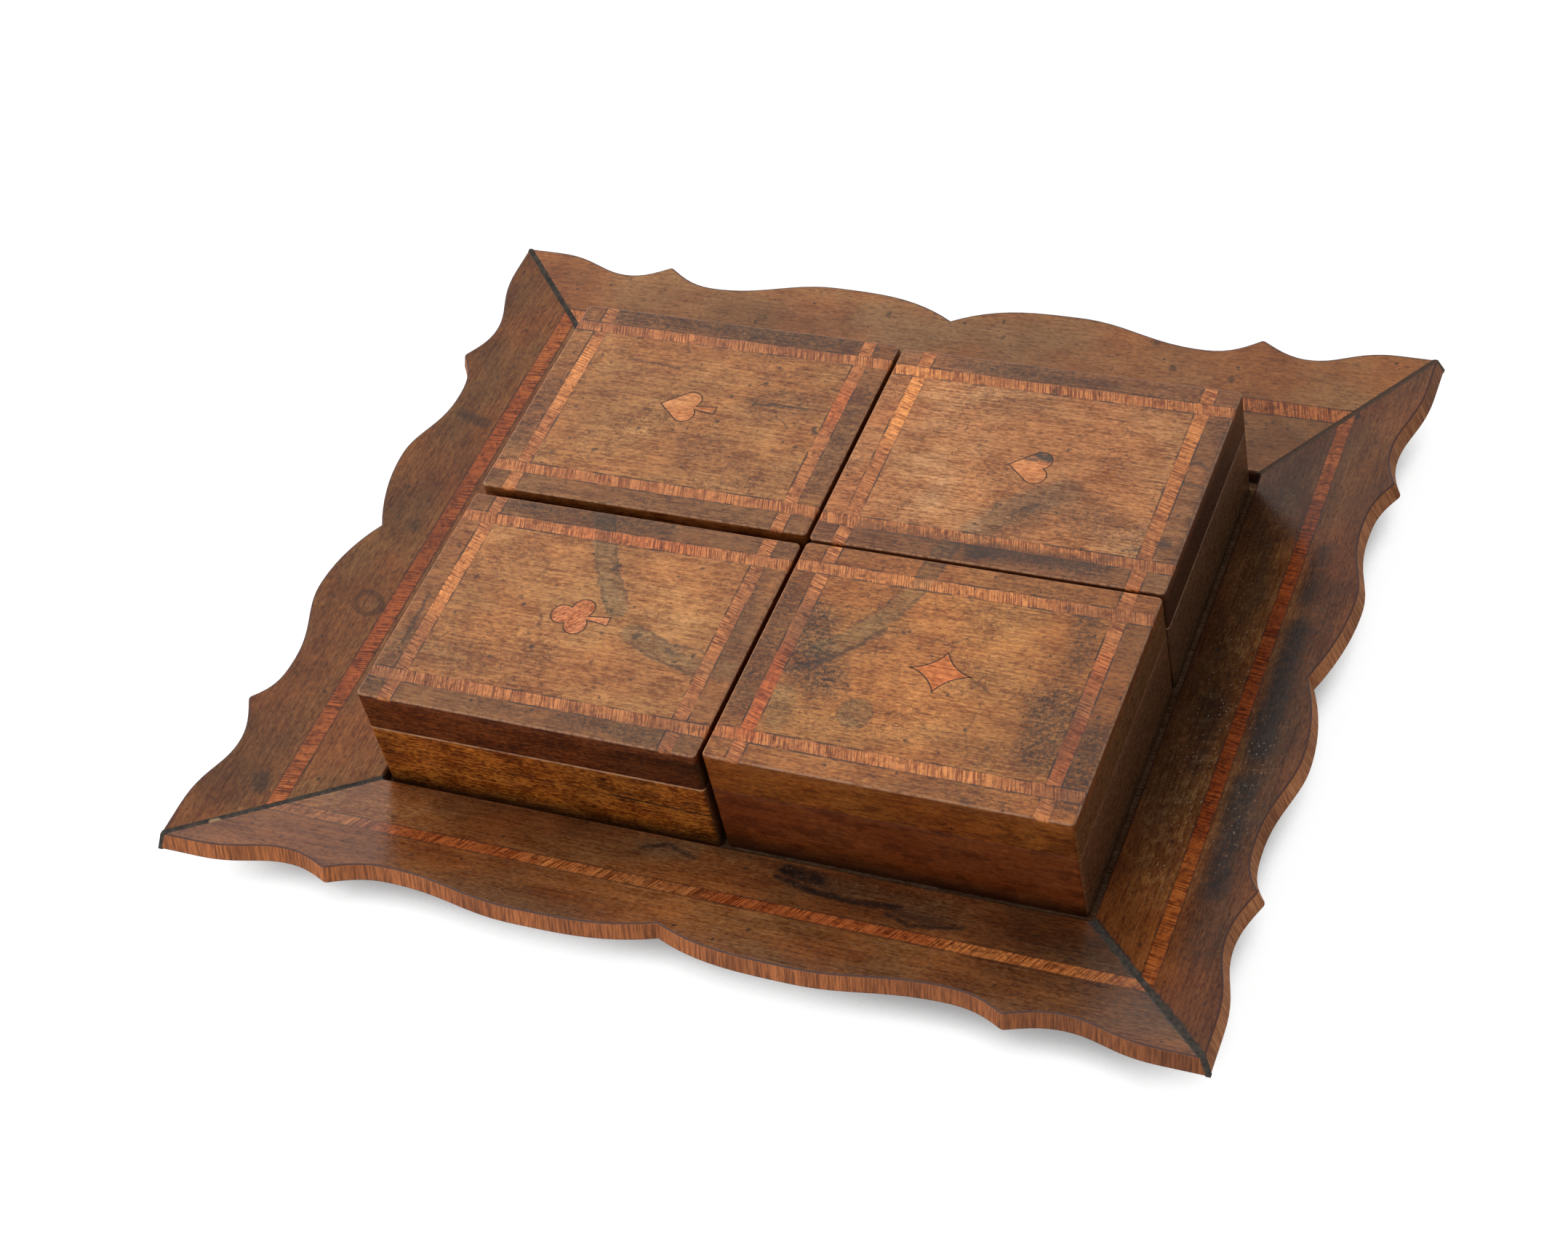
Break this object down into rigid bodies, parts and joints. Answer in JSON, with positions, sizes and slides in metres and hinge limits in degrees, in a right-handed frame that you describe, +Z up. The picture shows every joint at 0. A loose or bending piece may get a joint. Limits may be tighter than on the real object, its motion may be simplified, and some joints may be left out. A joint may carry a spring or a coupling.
{
  "type": "games tray with lidded playing card boxes",
  "caption": "Low wooden tray with sloping, scalloped borders and a flat well that holds loose rectangular card boxes with lift-off lids, each lid inlaid with a card suit and banding.",
  "frame": {"origin": "middle of the tray's flat underside, on the surface that it stands on", "axes": "+Z up; +X along the tray's long side; +Y to the back, the side of the spade and heart boxes"},
  "size_m": [0.2987, 0.252, 0.0411],
  "materials": {
    "border_walnut": "worn satin, stained",
    "border_banding": "worn satin, cross-grained",
    "joint_filler": "matt dark filler",
    "tray_floor_wood": "matt, unpolished",
    "box_side_wood": "worn satin",
    "box_floor_wood": "matt, unpolished",
    "lining_wood": "matt, unpolished",
    "lid_veneer": "worn satin, stained",
    "lid_side_wood": "worn satin",
    "lid_banding": "worn satin, cross-grained",
    "suit_inlay": "worn satin"
  },
  "bodies": {
    "tray": {"tray_floor": "tray_floor_wood", "border_front": "border_walnut", "border_banding_front": "border_banding", "border_back": "border_walnut", "border_banding_back": "border_banding", "border_left": "border_walnut", "border_banding_left": "border_banding", "border_right": "border_walnut", "border_banding_right": "border_banding", "mitre_filler": "joint_filler"},
    "spade_box": {"spade_box_floor": "box_floor_wood", "spade_box_front": "box_side_wood", "spade_box_back": "box_side_wood", "spade_box_left": "box_side_wood", "spade_box_right": "box_side_wood", "spade_box_lining": "lining_wood"},
    "spade_lid": {"spade_lid_panel": "lid_veneer", "spade_lid_side_rails": "lid_side_wood", "spade_lid_end_rails": "lid_side_wood", "spade_lid_banding": "lid_banding", "spade_lid_inlay": "suit_inlay"},
    "heart_box": {"heart_box_floor": "box_floor_wood", "heart_box_front": "box_side_wood", "heart_box_back": "box_side_wood", "heart_box_left": "box_side_wood", "heart_box_right": "box_side_wood", "heart_box_lining": "lining_wood"},
    "heart_lid": {"heart_lid_panel": "lid_veneer", "heart_lid_side_rails": "lid_side_wood", "heart_lid_end_rails": "lid_side_wood", "heart_lid_banding": "lid_banding", "heart_lid_inlay": "suit_inlay"},
    "diamond_box": {"diamond_box_floor": "box_floor_wood", "diamond_box_front": "box_side_wood", "diamond_box_back": "box_side_wood", "diamond_box_left": "box_side_wood", "diamond_box_right": "box_side_wood", "diamond_box_lining": "lining_wood"},
    "diamond_lid": {"diamond_lid_panel": "lid_veneer", "diamond_lid_side_rails": "lid_side_wood", "diamond_lid_end_rails": "lid_side_wood", "diamond_lid_banding": "lid_banding", "diamond_lid_inlay": "suit_inlay"},
    "club_box": {"club_box_floor": "box_floor_wood", "club_box_front": "box_side_wood", "club_box_back": "box_side_wood", "club_box_left": "box_side_wood", "club_box_right": "box_side_wood", "club_box_lining": "lining_wood"},
    "club_lid": {"club_lid_panel": "lid_veneer", "club_lid_side_rails": "lid_side_wood", "club_lid_end_rails": "lid_side_wood", "club_lid_banding": "lid_banding", "club_lid_inlay": "suit_inlay"}
  },
  "joints": [
    {"name": "spade_box_lift", "type": "slide", "parent": "tray", "child": "spade_box", "axis": [0, 0, 1], "range_m": [0, 0.06]},
    {"name": "spade_lid_lift", "type": "slide", "parent": "spade_box", "child": "spade_lid", "axis": [0, 0, 1], "range_m": [0, 0.04]},
    {"name": "heart_box_lift", "type": "slide", "parent": "tray", "child": "heart_box", "axis": [0, 0, 1], "range_m": [0, 0.06]},
    {"name": "heart_lid_lift", "type": "slide", "parent": "heart_box", "child": "heart_lid", "axis": [0, 0, 1], "range_m": [0, 0.04]},
    {"name": "diamond_box_lift", "type": "slide", "parent": "tray", "child": "diamond_box", "axis": [0, 0, 1], "range_m": [0, 0.06]},
    {"name": "diamond_lid_lift", "type": "slide", "parent": "diamond_box", "child": "diamond_lid", "axis": [0, 0, 1], "range_m": [0, 0.04]},
    {"name": "club_box_lift", "type": "slide", "parent": "tray", "child": "club_box", "axis": [0, 0, 1], "range_m": [0, 0.06]},
    {"name": "club_lid_lift", "type": "slide", "parent": "club_box", "child": "club_lid", "axis": [0, 0, 1], "range_m": [0, 0.04]}
  ]
}
